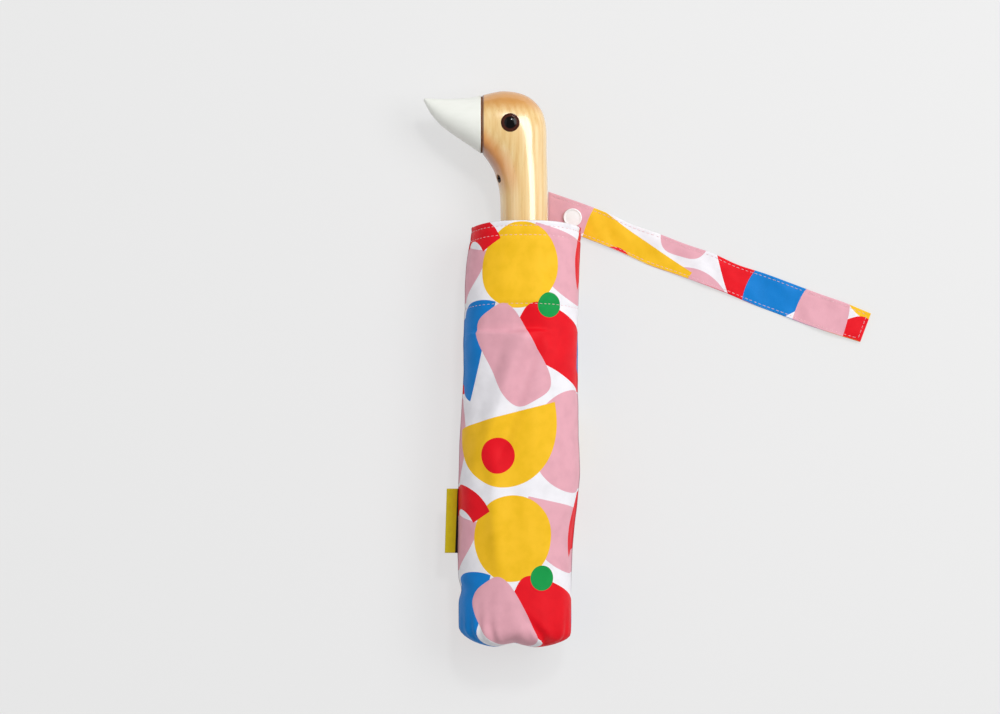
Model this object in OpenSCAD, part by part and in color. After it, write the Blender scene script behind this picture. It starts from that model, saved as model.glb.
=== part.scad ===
// Folding umbrella with a carved bird-head handle, lying in its fabric sleeve.
// The umbrella lies along Y with the handle towards +Y and the beak towards -X.
// The origin is on the flat underside of the sleeve, below the shaft, half way along the sleeve.

/* [Sleeve] */
// Length of the sleeve from its closed end to its mouth
sleeve_len = 238; // [225:1:260]
// Width of the sleeve at its widest, half way along
sleeve_mid_w = 65.5; // [62:0.5:76]
// Width of the sleeve at its mouth
sleeve_mouth_w = 62; // [58:0.5:70]
// Width of the sleeve just before its closed end rounds in
sleeve_end_w = 62; // [58:0.5:70]
// Height of the sleeve as it lies
sleeve_h = 50; // [50:0.5:56]
// Thickness of the sleeve's doubled cloth
sleeve_wall = 0.9; // [0.6:0.1:1.2]
// How far the closed end lies to the left of the shaft
sleeve_drift = 5.5; // [0:0.5:6]
// Length over which the closed end rounds in
sleeve_round = 12; // [8:0.5:16]
// Depth of the flat that the table presses into the sleeve
flat_depth = 0.5; // [0.3:0.1:0.6]
// Length of the tab sewn into the left seam
tab_len = 36; // [24:1:48]
// Width of the tab outside the seam
tab_w = 7.2; // [6:0.2:12]
// Thickness of the folded tab
tab_t = 0.8; // [0.5:0.1:1.2]
// Distance from the closed end to the middle of the tab
tab_from_end = 71; // [50:1:110]

/* [Strap] */
// Length of the carrying strap
strap_len = 191; // [170:1:220]
// Width of the strap
strap_w = 17; // [14:0.2:20]
// Thickness of the strap's folded cloth
strap_t = 1; // [0.8:0.1:1.3]
// Angle by which the strap slopes away from straight across the sleeve
strap_slope = 20.7; // [16:0.1:24]
// Length of the root that is sewn under the sleeve's mouth
root_len = 29; // [26:0.5:34]
// Diameter of the snap's cap
snap_cap_d = 10.6; // [9:0.2:12]
// Height of the snap's cap
snap_cap_h = 2.2; // [1.6:0.1:2.6]
// Diameter of the snap's socket and stud rings
snap_ring_d = 9.6; // [8:0.2:11]
// Height of the snap's socket and stud rings
snap_ring_h = 1.7; // [1.4:0.1:2]
// Distance from each end of the strap to its snap
snap_inset = 14.4; // [11:0.2:16]

/* [Handle] */
// Diameter of the handle's neck
neck_d = 26.6; // [24:0.2:30]
// Distance from the sleeve's mouth to the crown of the head
head_rise = 73.6; // [70:0.2:80]
// Length of neck inside the sleeve
neck_in_sleeve = 18; // [10:0.5:22]
// Length of the beak ahead of its joint
beak_len = 32; // [26:0.5:40]
// Height of the beak at its joint
beak_h = 33.2; // [29:0.2:36]
// Half width of the head across the eyes
cheek_r = 14.6; // [13.6:0.2:16]
// Width of the dark groove between the beak and the head
groove_w = 1; // [0.6:0.1:1.6]
// Diameter of the glass eyes
eye_d = 10.6; // [8:0.2:12]
// Height that an eye stands out of its socket
eye_rise = 2; // [1.4:0.1:2.6]
// Diameter of the hole in the throat for the fixing screw
screw_hole_d = 4.8; // [4.2:0.1:6]
// Diameter of the dowel that holds the beak
dowel_d = 8; // [6:0.5:10]
// Length of the dowel
dowel_len = 26; // [20:1:32]

/* [Shaft] */
// Outside diameter of the crown tube
outer_tube_d = 10.4; // [9.8:0.1:11]
// Wall of each shaft tube
tube_wall = 0.6; // [0.4:0.05:0.8]
// Gap between neighbouring tubes, on the radius
tube_gap = 0.25; // [0.15:0.05:0.35]

/* [Frame] */
// Number of ribs
rib_count = 8; // [6:1:8]
// Width of a main rib's channel
rib_w = 2.6; // [2:0.1:3]
// Depth of a main rib's channel
rib_depth = 2.2; // [1.8:0.1:2.4]
// Wall of the channels
rib_wall = 0.5; // [0.4:0.05:0.6]
// Gap between folded ribs, on the radius
fold_gap = 0.4; // [0.3:0.05:0.6]
// Diameter of a wire tip rib
tip_wire_d = 1.8; // [1.4:0.1:2]
// Diameter of the rivets
rivet_d = 1.2; // [1:0.05:1.4]
// Diameter of the tie wires in the crown and the runner
tie_wire_d = 0.9; // [0.7:0.05:1]
// Length of the runner
runner_len = 28; // [22:1:32]

/* [Canopy] */
// Diameter of the folded canopy over its pleats
bundle_d = 45; // [43:0.2:45.4]
// Depth of the pleats' outline
pleat_depth = 1.6; // [1:0.1:2]
// Width of the band that ties the canopy
band_w = 14; // [10:0.5:18]
// Thickness of the band that ties the canopy
band_t = 0.8; // [0.5:0.1:0.9]

/* [Hidden] */
$fn = 48;
slip = 0.05;         // radial gap of a rivet, wire or pin in its own hole
seat_gap = 0.2;      // gap between a piece and what it is sewn or pressed against
run_gap = 0.4;       // gap between pieces that move past each other
big = 400;           // larger than the whole object
axis_h = sleeve_h / 2;
mouth_y = sleeve_len / 2;
end_y = -mouth_y;

// Shaft: the crown tube is the widest, and the handle's tube is the thinnest
outer_r = outer_tube_d / 2;
outer_in_r = outer_r - tube_wall;
mid_r = outer_in_r - tube_gap;
mid_in_r = mid_r - tube_wall;
inner_r = mid_in_r - tube_gap;
inner_in_r = inner_r - tube_wall;
neck_y = mouth_y - neck_in_sleeve;      // lower face of the wooden handle
liner_flange_t = 2;
liner_y = neck_y - liner_flange_t;      // lower face of the handle's liner
mid_top_y = liner_y - run_gap;
outer_top_y = mid_top_y - 2 * run_gap;
socket_depth = 46;                      // how deep the shaft goes into the handle
inner_top_y = neck_y + socket_depth;

// Crown end
ferrule_clear = 2.5;                    // gap inside the sleeve's closed end
ferrule_t = 8;
ferrule_y = end_y + sleeve_wall + ferrule_clear;
crown_y = ferrule_y + ferrule_t;        // outer face of the crown
crown_len = 9;
crown_r = 9;
tie_r = 7.4;                            // radius of the crown's tie wire
tie_y = crown_y + crown_len / 2;

// Runner, folded down to the handle
runner_top_y = outer_top_y - 2;
runner_y = runner_top_y - runner_len;
runner_in_r = outer_r + 0.15;
runner_r = runner_in_r + 1.4;
runner_flange_t = 6;
runner_tie_y = runner_y + runner_flange_t / 2;

// Folded ribs, from the shaft outwards
stretch_depth = rib_depth - 0.2;
stretch_in_r = runner_r + run_gap;
main_in_r = stretch_in_r + stretch_depth + fold_gap;
mid_rib_depth = rib_depth - 0.4;
mid_rib_in_r = main_in_r + rib_depth + fold_gap;
tip_r = mid_rib_in_r + mid_rib_depth + fold_gap + tip_wire_d / 2;
flange_r = stretch_in_r + stretch_depth;
rib_pin_r = main_in_r + rib_depth / 2;  // radius at which rivets cross the main ribs
mid_pin_r = mid_rib_in_r + mid_rib_depth / 2;
ear_t = 0.6;
rib_bottom_y = crown_y + crown_len + 1;
rib_top_y = runner_y - 2;
stretch_pin_y = (rib_bottom_y + rib_top_y) / 2 - 8;
elbow_y = rib_top_y - 3;                // rivet between a main rib and its second rib
knee_y = rib_bottom_y + 3;              // rivet between a second rib and its tip rib
tip_end_y = runner_top_y - 6;
tip_cap_len = 8;
tip_cap_r = tip_wire_d / 2 + 0.6;

// Canopy
bundle_r = bundle_d / 2;
bundle_in_r = tip_r + tip_cap_r + fold_gap;
bundle_top_y = tip_end_y - 1;
band_in_r = bundle_r + seat_gap;
band_y = 30;                            // lower edge of the tie band

// Runner's catch in the crown tube
catch_len = 10;
catch_w = 2;
catch_nose = 1.3;                       // how far the catch stands out of the tube
catch_y = rib_bottom_y + 4;
catch_clear = 8;                        // the sliding tubes stop short of the catch
mid_bottom_y = catch_y + catch_len + catch_clear;
inner_bottom_y = mid_bottom_y + run_gap;

// Strap
root_x = 14.6;
root_y = mouth_y + strap_w / 2;       // the strap's lower edge meets the mouth at its root
strap_z = snap_ring_h;                  // the strap lies on the snap's rings
snap_s = snap_inset;
fold_s = strap_len / 2;
joint_gap = 0.4;

// Handle profile: throat point, back point and half width of each section, from the neck up.
// Each point is [x, height above the sleeve's mouth].
neck_r = neck_d / 2;
neck_lean = 0.6;                        // the neck stands a little to the right of the shaft
joint_x = -22.6;                        // plane between the head and the beak
joint_drop = 2.2;                       // top of that plane below the crown
joint_top = head_rise - joint_drop;
throat_top = joint_top - beak_h;
joint_inset = 0.6;                      // the head narrows this much on each side towards the joint
joint_half_w = cheek_r - joint_inset;
nape_drop = 19.6;                       // where the back of the neck turns into the crown
brow_drop = 9.6;
brow_x = 9.6;
head_sections = [
    [[-neck_r + neck_lean, -neck_in_sleeve], [neck_r + neck_lean, -neck_in_sleeve], neck_r],
    [[-neck_r + neck_lean, 6], [neck_r + neck_lean + 0.1, 6], neck_r],
    [[-neck_r, 17.5], [neck_r + 0.5, 21], neck_r],
    [[-neck_r - 1.7, 24.6], [neck_r, 38], neck_r + 0.2],
    [[-16.4, 28.8], [neck_r - 0.4, head_rise - nape_drop], cheek_r - 0.2],
    [[-18, 31.7], [brow_x, head_rise - brow_drop], cheek_r],
    [[-19.6, 34.2], [1.6, head_rise - 2.5], cheek_r],
    [[-21.3, throat_top - 1.7], [-10.5, head_rise], cheek_r - 0.2],
    [[joint_x, throat_top], [joint_x, joint_top], joint_half_w]
];
// Beak sections from the joint to the tip: share of the length, share of the joint's height
// at which the lower edge lies and by which the upper edge drops, and share of the half width
beak_sections = [
    [0, 0.012, 0.009, 0.985],
    [0.2, 0.145, 0.045, 0.89],
    [0.45, 0.307, 0.062, 0.73],
    [0.7, 0.488, 0.066, 0.54],
    [0.88, 0.687, 0.057, 0.33],
    [0.965, 0.837, 0.054, 0.17],
    [1, 0.898, 0.066, 0.05]
];
eye_at = [-7.2, 55.3];                    // x, and height above the mouth
eye_socket_depth = 4;
eye_post_d = 3;
eye_post_len = 5;
screw_rise = 24.4;                      // height of the fixing screw above the mouth
screw_r = neck_r + 1.6;                 // the throat's surface there, from the shaft's axis
screw_turn = 20;                        // the screw sits this far up round the neck, in degrees
screw_head_t = 2;
screw_shank_d = 2.6;
screw_recess = 0.6;
plug_len = 24;                          // nylon plug inside the top of the handle's tube

// Smooth curve through a list of points or numbers, at place t counted in points
function pick(list, i) = list[min(max(i, 0), len(list) - 1)];
function smooth(list, t) =
    let (i = min(floor(t), len(list) - 2), f = t - i,
         a = pick(list, i - 1), b = pick(list, i), c = pick(list, i + 1), d = pick(list, i + 2))
    0.5 * (2 * b + (c - a) * f + (2 * a - 5 * b + 4 * c - d) * f * f
           + (3 * b - a - 3 * c + d) * f * f * f);

// Power that keeps the sign of its base
function signed_pow(v, p) = sign(v) * pow(abs(v), p);

// Solid through a list of rings that all have the same number of points
module loft(rings) {
    count = len(rings);
    sides = len(rings[0]);
    points = [for (ring = rings) each ring];
    skin = [for (r = [0:count - 2]) for (s = [0:sides - 1])
        let (a = r * sides + s, b = r * sides + (s + 1) % sides, c = a + sides, d = b + sides)
        each [[a, b, d], [a, d, c]]];
    first_cap = [for (s = [1:sides - 2]) [0, s + 1, s]];
    last = (count - 1) * sides;
    last_cap = [for (s = [1:sides - 2]) [last, last + s, last + s + 1]];
    polyhedron(points = points, faces = concat(first_cap, skin, last_cap));
}

// Puts a shape that is drawn along Z onto the shaft, with its base at a place along Y
module on_shaft(y) {
    translate([0, y, axis_h])
        rotate([-90, 0, 0])
            children();
}

// Turns a shape on the shaft to the place of one rib, where X points outwards
module at_rib(i) {
    rotate([0, 0, (i - 0.5) * 360 / rib_count])
        children();
}

module tube(outside, inside, length) {
    difference() {
        cylinder(r = outside, h = length);
        translate([0, 0, -1])
            cylinder(r = inside, h = length + 2);
    }
}

module ring_wire(radius, wire_d) {
    rotate_extrude()
        translate([radius, 0])
            circle(d = wire_d, $fn = 24);
}

// Sleeve

// Half width and sideways place of the sleeve, u from 0 at the closed end to 1 at the mouth
function sleeve_half_w(u) =
    let (end = sleeve_end_w / 2, mid = sleeve_mid_w / 2, mouth = sleeve_mouth_w / 2)
    u < 0.5 ? end + (mid - end) * sin(180 * u) : mouth + (mid - mouth) * sin(180 * u);
function sleeve_x(u) = 1 - sleeve_drift * (1 - u) - sin(180 * u);
// Rounding of the closed end, where d is the distance from it
function end_scale(d) = let (v = min(1, 0.06 + 0.94 * d / sleeve_round)) sqrt(1 - (1 - v) * (1 - v));
sleeve_sides = 32;
sleeve_power = 2 / 2.6;
// One ring of the sleeve, drawn in by an inset from its outer face
function sleeve_ring(y, inset) =
    let (u = (y - end_y) / sleeve_len, k = end_scale(y - end_y - inset),
         a = (sleeve_half_w(u) - inset) * k,
         top = (axis_h - inset) * k, bottom = (axis_h + flat_depth - inset) * k)
    [for (s = [0:sleeve_sides - 1])
        let (t = 360 * s / sleeve_sides, c = cos(t), w = sin(t))
        [sleeve_x(u) + a * signed_pow(c, sleeve_power), y,
         axis_h + (w > 0 ? top : bottom) * signed_pow(w, sleeve_power)]];
round_steps = [0, 0.04, 0.12, 0.26, 0.48, 0.74, 1];
body_steps = [0.2, 0.4, 0.6, 0.8, 1];
function sleeve_places(start) = concat(
    [for (f = round_steps) start + sleeve_round * f],
    [for (f = body_steps) start + sleeve_round + (mouth_y - start - sleeve_round) * f]);
module sleeve() {
    outside = [for (y = sleeve_places(end_y)) sleeve_ring(y, 0)];
    inside_places = sleeve_places(end_y + sleeve_wall);
    inside = [for (k = [len(inside_places) - 1:-1:0]) sleeve_ring(inside_places[k], sleeve_wall)];
    color([0.85, 0.62, 0.68])
        difference() {
            loft(concat(outside, inside));
            translate([-big / 2, -big / 2, -big])
                cube([big, big, big]);
        }
}

module sleeve_tab() {
    u = tab_from_end / sleeve_len;
    edge_x = sleeve_x(u) - sleeve_half_w(u);
    tuck = 1.5;
    color([0.62, 0.58, 0.1])
        translate([edge_x - tab_w, end_y + tab_from_end - tab_len / 2, axis_h - tab_t / 2])
            cube([tab_w + tuck, tab_len, tab_t]);
}

// Place across the mouth where the sleeve's underside has risen clear of the strap
root_clear_x = sleeve_x(1) + sleeve_half_w(1) * pow(1 - pow((axis_h - strap_z - strap_t - seat_gap)
    / (axis_h + flat_depth), 2 / sleeve_power), sleeve_power / 2);

// Strap, drawn along X from its root and then laid at its slope
module along_strap(s) {
    translate([root_x, root_y, 0])
        rotate([0, 0, -strap_slope])
            translate([s, 0, 0])
                children();
}

module strap_piece(from, to) {
    along_strap(from)
        translate([0, -strap_w / 2, strap_z])
            cube([to - from, strap_w, strap_t]);
}

module strap_root() {
    color([0.86, 0.05, 0.1])
        difference() {
            strap_piece(0, root_len - joint_gap / 2);
            along_strap(snap_s)
                cylinder(d = 2.4, h = big, center = true);
            translate([root_clear_x - big, mouth_y + seat_gap - big, 0])
                cube([big, big, axis_h]);
        }
}

module strap_middle() {
    color([0.86, 0.05, 0.1])
        strap_piece(root_len + joint_gap / 2, fold_s - joint_gap / 2);
}

module strap_tail() {
    color([0.82, 0.52, 0.6])
        difference() {
            strap_piece(fold_s + joint_gap / 2, strap_len);
            along_strap(strap_len - snap_s)
                cylinder(d = 2.4, h = big, center = true);
        }
}

module snap_cap() {
    post_r = 1.1;
    dome = 0.5;
    color("white")
        along_strap(snap_s)
            translate([0, 0, strap_z + strap_t])
                union() {
                    rotate_extrude()
                        polygon([[0, 0], [snap_cap_d / 2, 0], [snap_cap_d / 2, snap_cap_h - 2 * dome],
                                 [snap_cap_d / 2 - dome, snap_cap_h - dome / 2],
                                 [snap_cap_d / 4, snap_cap_h], [0, snap_cap_h]]);
                    translate([0, 0, -strap_t - 0.6])
                        cylinder(r = post_r, h = strap_t + 0.6);
                }
}

module snap_socket() {
    color("silver")
        along_strap(snap_s)
            tube(snap_ring_d / 2, 2.2, snap_ring_h);
}

module snap_stud() {
    color("silver")
        along_strap(strap_len - snap_s)
            union() {
                cylinder(d = snap_ring_d, h = snap_ring_h / 2);
                cylinder(r = 1.1, h = snap_ring_h + strap_t);
                translate([0, 0, snap_ring_h / 2])
                    cylinder(r = 2, h = snap_ring_h / 2);
            }
}

// Handle

handle_sides = 32;
head_steps = 3;
// Ring between a throat point and a back point, with a half width across
function head_ring(throat, back, half_w) =
    let (mid = (throat + back) / 2, arm = (back - throat) / 2)
    [for (s = [0:handle_sides - 1])
        let (t = 360 * s / handle_sides)
        [mid[0] + arm[0] * cos(t), mouth_y + mid[1] + arm[1] * cos(t), axis_h - half_w * sin(t)]];
function head_ring_at(t) = head_ring(
    smooth([for (k = head_sections) k[0]], t),
    smooth([for (k = head_sections) k[1]], t),
    smooth([for (k = head_sections) k[2]], t));

// Axis of the fixing screw, from the throat's surface in to the shaft
module throat_axis() {
    translate([0, mouth_y + screw_rise, axis_h])
        rotate([0, screw_turn, 0])
            translate([-screw_r, 0, 0])
                rotate([0, 90, 0])
                    children();
}

// Eye axis on one side, where +Z points out of the head
module eye_axis(side) {
    translate([eye_at[0], mouth_y + eye_at[1], axis_h + side * (cheek_r - 1.2)])
        rotate([side > 0 ? 0 : 180, 0, 0])
            children();
}

module dowel_axis() {
    translate([joint_x - groove_w / 2, mouth_y + joint_top - beak_h / 2 + 2, axis_h])
        rotate([0, 90, 0])
            children();
}

module wooden_handle() {
    last = len(head_sections) - 1;
    color([0.86, 0.68, 0.42])
        difference() {
            loft([for (k = [0:last * head_steps]) head_ring_at(k / head_steps)]);
            on_shaft(neck_y - 1)
                cylinder(r = liner_r + slip, h = liner_len + 1 + slip);
            on_shaft(neck_y - 1)
                cylinder(r = inner_r + slip, h = socket_depth + 1 + slip);
            throat_axis()
                translate([0, 0, -5])
                    cylinder(d = screw_hole_d, h = 5 + screw_recess + screw_head_t + slip);
            throat_axis()
                cylinder(d = screw_shank_d + 2 * slip, h = screw_r);
            for (side = [-1, 1])
                eye_axis(side) {
                    translate([0, 0, -eye_socket_depth + 1])
                        cylinder(d = eye_d + 2 * slip, h = eye_socket_depth + 5);
                    translate([0, 0, -eye_socket_depth + 1 - eye_post_len - slip])
                        cylinder(d = eye_post_d + 2 * slip, h = eye_post_len + 1);
                }
            dowel_axis()
                cylinder(d = dowel_d + 2 * slip, h = dowel_len / 2 + slip);
        }
}

module beak() {
    color([0.92, 0.92, 0.9])
        difference() {
            loft([for (k = [0:2 * (len(beak_sections) - 1)])
                let (b = smooth(beak_sections, k / 2), x = joint_x - groove_w - b[0] * beak_len)
                head_ring([x, throat_top + b[1] * beak_h], [x, joint_top - b[2] * beak_h], b[3] * joint_half_w)]);
            dowel_axis()
                translate([0, 0, -dowel_len / 2 - slip])
                    cylinder(d = dowel_d + 2 * slip, h = dowel_len / 2 + slip);
        }
}

module beak_groove_ring() {
    inset = 0.8;
    color([0.3, 0.16, 0.06])
        difference() {
            loft([for (x = [joint_x, joint_x - groove_w])
                head_ring([x, throat_top + inset], [x, joint_top - inset], joint_half_w - inset)]);
            dowel_axis()
                cylinder(d = dowel_d + 2 * slip, h = 4 * groove_w, center = true);
        }
}

module beak_dowel() {
    color([0.8, 0.62, 0.4])
        dowel_axis()
            cylinder(d = dowel_d, h = dowel_len, center = true);
}

module eye(side) {
    floor_z = -eye_socket_depth + 1 + slip;
    edge_z = 0.6;
    color([0.12, 0.05, 0.03])
        eye_axis(side)
            rotate_extrude()
                polygon(concat(
                    [[0, floor_z - eye_post_len + 1], [eye_post_d / 2, floor_z - eye_post_len + 1],
                     [eye_post_d / 2, floor_z], [eye_d / 2, floor_z]],
                    [for (t = [0:15:90]) [eye_d / 2 * cos(t), edge_z + eye_rise * sin(t)]]));
}

liner_r = 8;
liner_len = 16;
module handle_liner() {
    color([0.1, 0.1, 0.1])
        difference() {
            union() {
                on_shaft(liner_y)
                    cylinder(r = neck_r - 0.6, h = liner_flange_t);
                on_shaft(neck_y)
                    cylinder(r = liner_r, h = liner_len);
            }
            on_shaft(liner_y - 1)
                cylinder(r = inner_r + slip, h = liner_len + liner_flange_t + 2);
        }
}

module shaft_plug() {
    color([0.85, 0.85, 0.8])
        difference() {
            on_shaft(inner_top_y - plug_len)
                cylinder(r = inner_in_r - slip, h = plug_len);
            throat_axis()
                cylinder(d = screw_shank_d + 2 * slip, h = screw_r + 2);
        }
}

module handle_screw() {
    cross_w = 0.8;
    cross_depth = 1;
    color([0.12, 0.09, 0.07])
        throat_axis()
            difference() {
                union() {
                    translate([0, 0, screw_recess])
                        cylinder(d = screw_hole_d - 0.3, h = screw_head_t);
                    translate([0, 0, screw_recess + screw_head_t])
                        cylinder(d = screw_shank_d, h = screw_r - screw_recess - screw_head_t - slip);
                }
                for (turn = [0, 90])
                    rotate([0, 0, turn])
                        translate([-screw_hole_d / 3, -cross_w / 2, 0])
                            cube([screw_hole_d * 2 / 3, cross_w, screw_recess + cross_depth]);
            }
}

// Shaft

module inner_tube() {
    color("silver")
        difference() {
            on_shaft(inner_bottom_y)
                tube(inner_r, inner_in_r, inner_top_y - inner_bottom_y);
            throat_axis()
                cylinder(d = screw_shank_d + 2 * slip, h = screw_r);
        }
}

module middle_tube() {
    color("silver")
        on_shaft(mid_bottom_y)
            tube(mid_r, mid_in_r, mid_top_y - mid_bottom_y);
}

module outer_tube() {
    bottom_y = ferrule_y + ferrule_t / 2;
    color("silver")
        difference() {
            on_shaft(bottom_y)
                tube(outer_r, outer_in_r, outer_top_y - bottom_y);
            on_shaft(catch_y - run_gap)
                translate([0, -catch_w / 2 - run_gap / 2, 0])
                    cube([2 * outer_r, catch_w + run_gap, catch_len + 2 * run_gap]);
        }
}

// Frame

module crown() {
    color([0.15, 0.15, 0.16])
        on_shaft(crown_y)
            difference() {
                tube(crown_r, outer_r + slip, crown_len);
                for (i = [1:rib_count])
                    at_rib(i)
                        translate([outer_r + 0.6, -tab_slot / 2, -1])
                            cube([crown_r, tab_slot, crown_len + 2]);
                translate([0, 0, tie_y - crown_y])
                    rotate_extrude()
                        translate([tie_r - tie_wire_d / 2 - slip, -tie_wire_d / 2 - slip])
                            square([crown_r, tie_wire_d + 2 * slip]);
            }
}

module crown_tie_wire() {
    color("silver")
        on_shaft(tie_y)
            ring_wire(tie_r, tie_wire_d);
}

module ferrule_cap() {
    color([0.1, 0.1, 0.1])
        on_shaft(ferrule_y)
            difference() {
                rotate_extrude()
                    polygon(concat([[0, 0]],
                        [for (t = [0:15:90]) [3 + (crown_r - 3) * sin(t), 4 * (1 - cos(t))]],
                        [[crown_r, ferrule_t - slip], [0, ferrule_t - slip]]));
                translate([0, 0, ferrule_t / 2 - slip])
                    cylinder(r = outer_r + slip, h = ferrule_t);
            }
}

module runner() {
    color([0.15, 0.15, 0.16])
        on_shaft(runner_y)
            difference() {
                union() {
                    cylinder(r = runner_r, h = runner_len);
                    cylinder(r = flange_r, h = runner_flange_t);
                }
                translate([0, 0, -1])
                    cylinder(r = runner_in_r, h = runner_len + 2);
                for (i = [1:rib_count])
                    at_rib(i)
                        translate([runner_r - 0.2, -tab_slot / 2, -1])
                            cube([flange_r, tab_slot, runner_flange_t + 2]);
                translate([0, 0, runner_flange_t / 2])
                    rotate_extrude()
                        translate([runner_tie_r - tie_wire_d / 2 - slip, -tie_wire_d / 2 - slip])
                            square([flange_r, tie_wire_d + 2 * slip]);
            }
}

runner_tie_r = stretch_in_r + stretch_depth / 2;
module runner_tie_wire() {
    color("silver")
        on_shaft(runner_tie_y)
            ring_wire(runner_tie_r, tie_wire_d);
}

module runner_catch() {
    leaf_t = 0.5;
    color("silver")
        on_shaft(catch_y)
            translate([0, catch_w / 2, 0])
                rotate([90, 0, 0])
                    linear_extrude(catch_w)
                        polygon([[outer_in_r - leaf_t - 0.4, 0], [outer_r, 0],
                                 [outer_r + catch_nose, catch_len * 0.35],
                                 [outer_r + catch_nose, catch_len * 0.5], [outer_r, catch_len],
                                 [outer_in_r - leaf_t - 0.4, catch_len]]);
}

eye_plate_t = 1.2;
tab_slot = eye_plate_t + 0.6;

// Channel of pressed steel, open towards the shaft, from one place along the shaft to another
module channel(from, to, inside_r, width, depth) {
    translate([inside_r, -width / 2, from])
        difference() {
            cube([depth, width, to - from]);
            translate([-1, rib_wall, -1])
                cube([depth - rib_wall + 1, width - 2 * rib_wall, to - from + 2]);
        }
}

// Hole across a rib for a rivet or a tie wire
module cross_hole(radius, place, hole_d) {
    translate([radius, 0, place])
        rotate([90, 0, 0])
            cylinder(d = hole_d + 2 * slip, h = 12, center = true);
}

module main_rib(i) {
    eyelet_r = 1.5;
    color([0.75, 0.76, 0.78])
        on_shaft(0)
            at_rib(i)
                difference() {
                    union() {
                        channel(rib_bottom_y, rib_top_y, main_in_r, rib_w, rib_depth);
                        translate([tie_r, eye_plate_t / 2, tie_y])
                            rotate([90, 0, 0])
                                cylinder(r = eyelet_r, h = eye_plate_t);
                        translate([tie_r, -eye_plate_t / 2, tie_y - eyelet_r])
                            cube([main_in_r + rib_depth - tie_r, eye_plate_t, 2 * eyelet_r]);
                        translate([main_in_r + rib_depth - rib_wall, -eye_plate_t / 2, tie_y - eyelet_r])
                            cube([rib_wall, eye_plate_t, rib_bottom_y - tie_y + eyelet_r + 1]);
                    }
                    cross_hole(tie_r, tie_y, tie_wire_d + 0.3);
                    cross_hole(rib_pin_r, stretch_pin_y, rivet_d);
                    cross_hole(rib_pin_r, elbow_y, rivet_d);
                }
}

module stretcher(i) {
    color([0.75, 0.76, 0.78])
        on_shaft(0)
            at_rib(i)
                difference() {
                    union() {
                        channel(stretch_pin_y - 2, runner_y - 1, stretch_in_r, rib_w - 0.2, stretch_depth);
                        translate([runner_tie_r - 0.4, -eye_plate_t / 2, runner_y - 2])
                            cube([stretch_depth / 2 + 0.4, eye_plate_t, runner_flange_t / 2 + 3]);
                        translate([stretch_in_r, rib_w / 2 + slip, stretch_pin_y - 2])
                            cube([main_in_r + rib_depth - stretch_in_r, ear_t, 4]);
                        translate([stretch_in_r, rib_w / 2 - 0.2, stretch_pin_y - 2])
                            cube([stretch_depth, ear_t, 4]);
                    }
                    cross_hole(runner_tie_r, runner_tie_y, tie_wire_d + 0.3);
                    cross_hole(rib_pin_r, stretch_pin_y, rivet_d);
                }
}

// The second rib folds back along the main rib, and the wire tip rib folds forward again
module second_and_tip_rib(i) {
    color([0.75, 0.76, 0.78])
        on_shaft(0)
            at_rib(i) {
                difference() {
                    union() {
                        channel(knee_y - 2, rib_top_y, mid_rib_in_r, rib_w - 0.2, mid_rib_depth);
                        translate([main_in_r, -rib_w / 2 - slip - ear_t, elbow_y - 2])
                            cube([mid_rib_in_r + mid_rib_depth - main_in_r, ear_t, 4]);
                        translate([mid_rib_in_r, -rib_w / 2 - slip - ear_t, elbow_y - 2])
                            cube([mid_rib_depth, ear_t + 0.6, 4]);
                    }
                    cross_hole(rib_pin_r, elbow_y, rivet_d);
                    cross_hole(mid_pin_r, knee_y, rivet_d);
                }
                difference() {
                    union() {
                        translate([tip_r, 0, knee_y])
                            cylinder(d = tip_wire_d, h = tip_end_y - knee_y);
                        translate([mid_rib_in_r, rib_w / 2 + slip, knee_y - 2])
                            cube([tip_r - mid_rib_in_r + tip_wire_d / 2, ear_t, 4]);
                        translate([tip_r - tip_wire_d / 2, -0.4, knee_y - 2])
                            cube([tip_wire_d, rib_w / 2 + slip + ear_t + 0.4, 4]);
                    }
                    cross_hole(mid_pin_r, knee_y, rivet_d);
                }
            }
}

module rivet(radius, place) {
    head_d = rivet_d + 0.8;
    reach = rib_w / 2 + ear_t + 2 * slip;
    translate([radius, 0, place])
        rotate([90, 0, 0]) {
            cylinder(d = rivet_d, h = 2 * reach, center = true);
            for (side = [-1, 1])
                translate([0, 0, side * (reach + 0.2)])
                    cylinder(d = head_d, h = 0.4, center = true);
        }
}

module rib_rivets() {
    color("silver")
        on_shaft(0)
            for (i = [1:rib_count])
                at_rib(i) {
                    rivet(rib_pin_r, stretch_pin_y);
                    rivet(rib_pin_r, elbow_y);
                    rivet(mid_pin_r, knee_y);
                }
}

module rib_tip_cups() {
    wire_in = 4;
    color([0.1, 0.1, 0.1])
        on_shaft(0)
            for (i = [1:rib_count])
                at_rib(i)
                    translate([tip_r, 0, tip_end_y - wire_in])
                        difference() {
                            cylinder(r = tip_cap_r, h = tip_cap_len, $fn = 24);
                            translate([0, 0, -1])
                                cylinder(d = tip_wire_d + 2 * slip, h = wire_in + 1 + slip, $fn = 24);
                        }
}

// Canopy

pleat_points = 12;
// Outline of the folded canopy: one wrapped pleat per rib, each lapping over the next
function pleat_outline(radius) = [for (s = [0:rib_count * pleat_points - 1])
    let (f = (s % pleat_points) / pleat_points, t = 360 * s / (rib_count * pleat_points),
         r = radius - pleat_depth * (f < 0.85 ? 1 - f / 0.85 : (f - 0.85) / 0.15))
    [r * cos(t), r * sin(t)]];

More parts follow.
